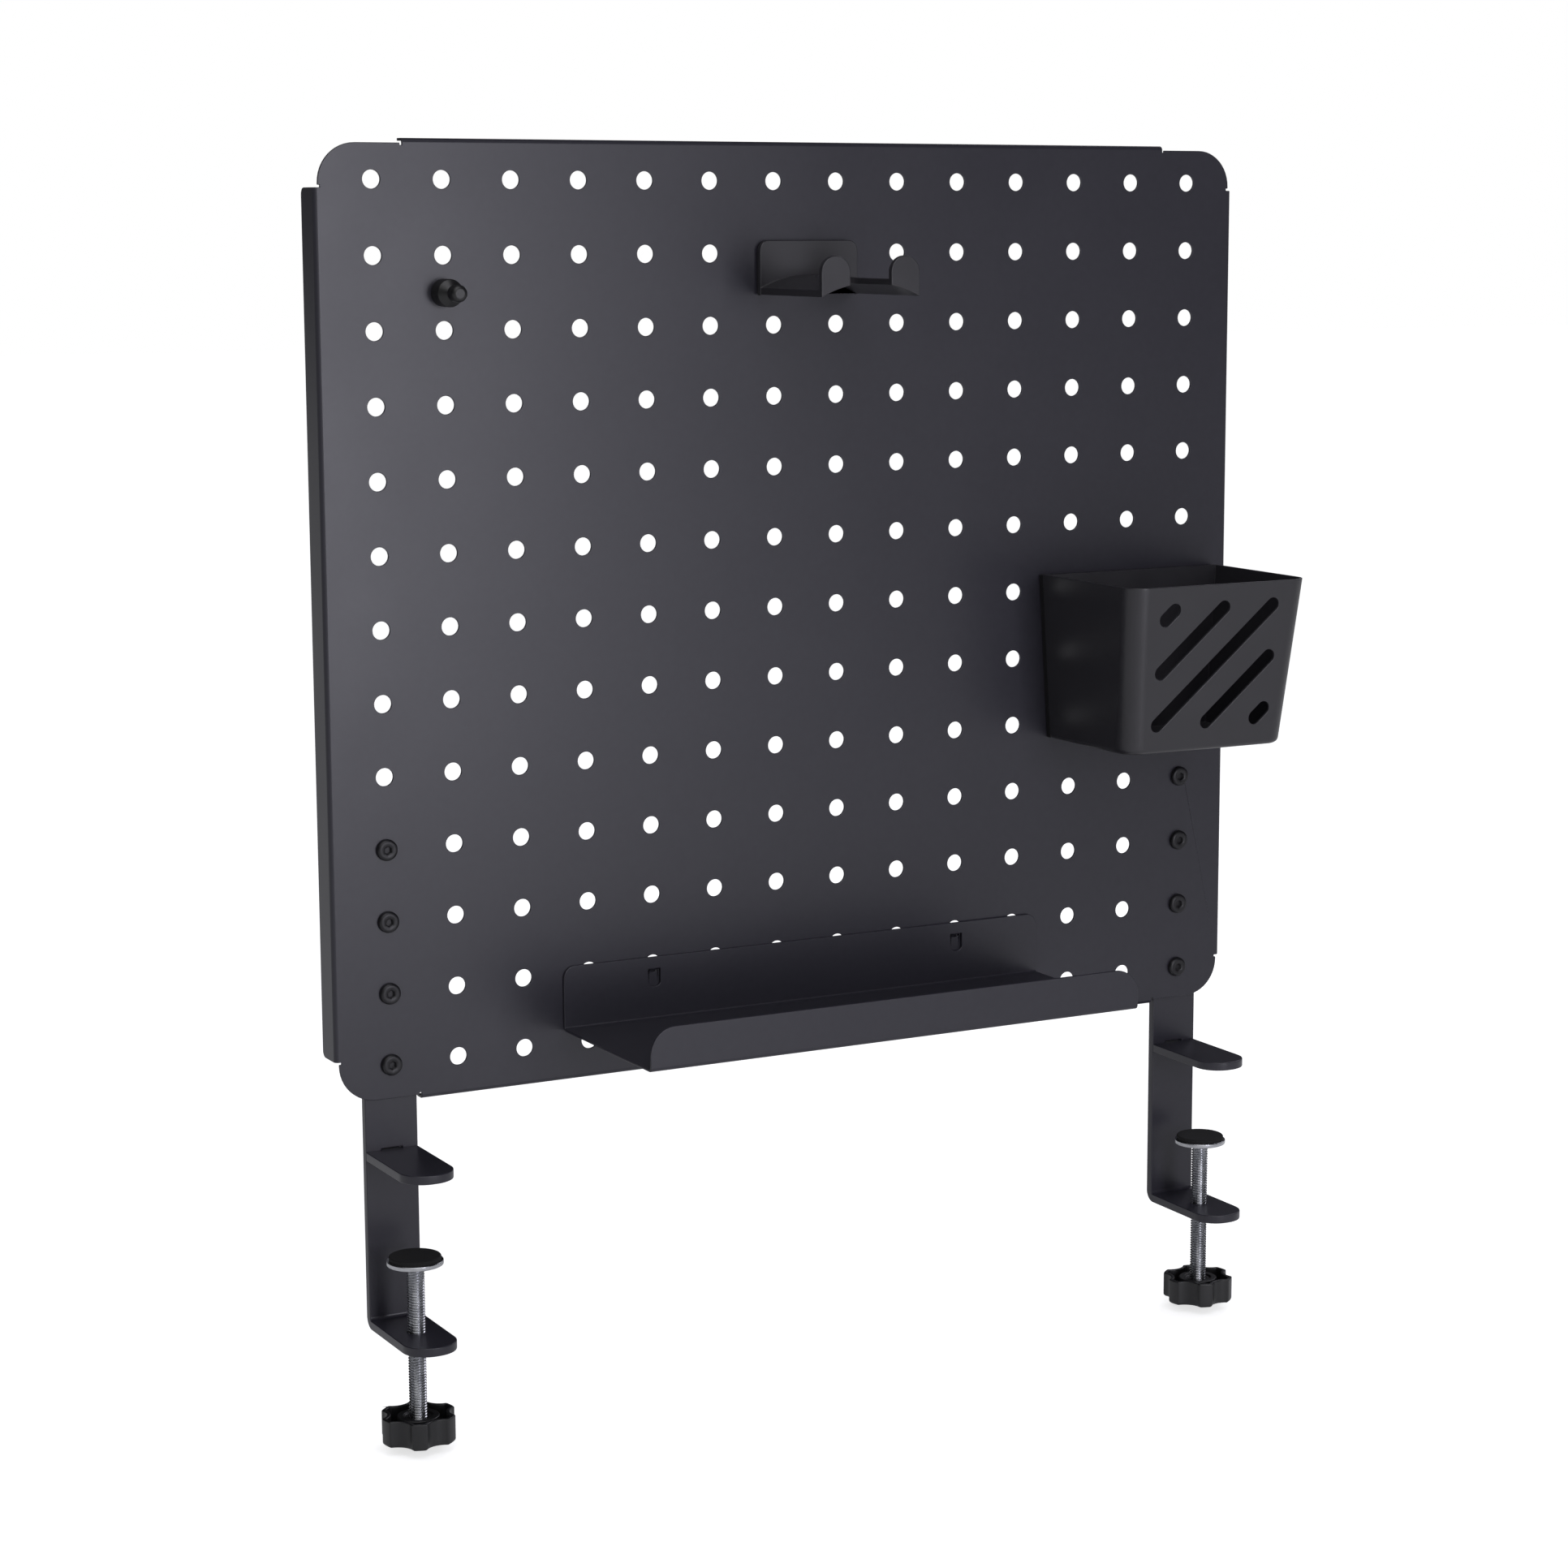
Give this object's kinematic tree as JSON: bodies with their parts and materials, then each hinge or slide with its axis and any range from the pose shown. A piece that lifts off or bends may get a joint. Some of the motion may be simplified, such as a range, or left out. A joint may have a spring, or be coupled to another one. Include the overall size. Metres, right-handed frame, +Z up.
{
  "type": "desk clamp pegboard organizer",
  "caption": "Steel pegboard that screw-clamps to a desk's rear edge, with a hung shelf tray, slotted pen cup, headset hook and magnetic push pin.",
  "frame": {"origin": "on the desk's top surface, midway between the two clamps, at the front face of their uprights, where the desk's rear edge meets them", "axes": "+X to the user's right, +Y away from the user, +Z up"},
  "size_m": [0.468, 0.1058, 0.5661],
  "materials": {
    "panel_powder_coat": "fine matte charcoal powder coat",
    "clamp_powder_coat": "fine matte charcoal powder coat",
    "shelf_powder_coat": "fine matte charcoal powder coat",
    "black_screw": "satin black zinc",
    "zinc_steel": "bright zinc plate",
    "knob_plastic": "satin moulded black",
    "pad_rubber": "matte black",
    "cup_plastic": "fine matte charcoal",
    "hanger_plastic": "satin moulded black",
    "hook_plastic": "fine matte charcoal",
    "pin_plastic": "satin moulded black",
    "magnet_nickel": "bright nickel plate"
  },
  "bodies": {
    "frame": {"pegboard_panel": "panel_powder_coat", "clamp_bracket_left": "clamp_powder_coat", "clamp_bracket_right": "clamp_powder_coat", "upper_jaw_left": "clamp_powder_coat", "upper_jaw_right": "clamp_powder_coat", "bracket_screws_left": "black_screw", "bracket_screws_right": "black_screw"},
    "left_foot": {"foot_disc_left": "zinc_steel", "foot_pad_left": "pad_rubber"},
    "right_foot": {"foot_disc_right": "zinc_steel", "foot_pad_right": "pad_rubber"},
    "left_clamp_screw": {"clamp_spindle_left": "zinc_steel", "clamp_knob_left": "knob_plastic"},
    "right_clamp_screw": {"clamp_spindle_right": "zinc_steel", "clamp_knob_right": "knob_plastic"},
    "shelf": {"shelf_tray": "shelf_powder_coat"},
    "cup": {"pen_cup": "cup_plastic", "cup_hanger": "hanger_plastic"},
    "hook": {"headset_hook": "hook_plastic", "hook_pad": "pad_rubber"},
    "push_pin": {"pin_grip": "pin_plastic", "pin_magnet": "magnet_nickel"}
  },
  "joints": [
    {"name": "left_foot_lift", "type": "slide", "parent": "frame", "child": "left_foot", "axis": [0, 0, 1], "range_m": [-0.03, 0.0325]},
    {"name": "left_knob_turn", "type": "hinge", "parent": "left_foot", "child": "left_clamp_screw", "pos_m": [-0.208, -0.0244, -0.08], "axis": [0, 0, 1], "range_deg": [-8640, 9360]},
    {"name": "right_foot_lift", "type": "slide", "parent": "frame", "child": "right_foot", "axis": [0, 0, 1], "range_m": [-0.03, 0.0325]},
    {"name": "right_knob_turn", "type": "hinge", "parent": "right_foot", "child": "right_clamp_screw", "pos_m": [0.208, -0.0244, -0.08], "axis": [0, 0, 1], "range_deg": [-8640, 9360]},
    {"name": "shelf_lift", "type": "slide", "parent": "frame", "child": "shelf", "axis": [0, 0, 1], "range_m": [0, 0.004]},
    {"name": "cup_lift", "type": "slide", "parent": "frame", "child": "cup", "axis": [0, 0, 1], "range_m": [0, 0.004]},
    {"name": "hook_lift", "type": "slide", "parent": "frame", "child": "hook", "axis": [0, 0, 1], "range_m": [0, 0.004]},
    {"name": "pin_pull", "type": "slide", "parent": "frame", "child": "push_pin", "axis": [0, -1, 0], "range_m": [0, 0.02]}
  ],
  "couplings": [
    {"joint": "left_knob_turn", "follows": "left_foot_lift", "rad_per_m": 5026.5},
    {"joint": "right_knob_turn", "follows": "right_foot_lift", "rad_per_m": 5026.5}
  ]
}
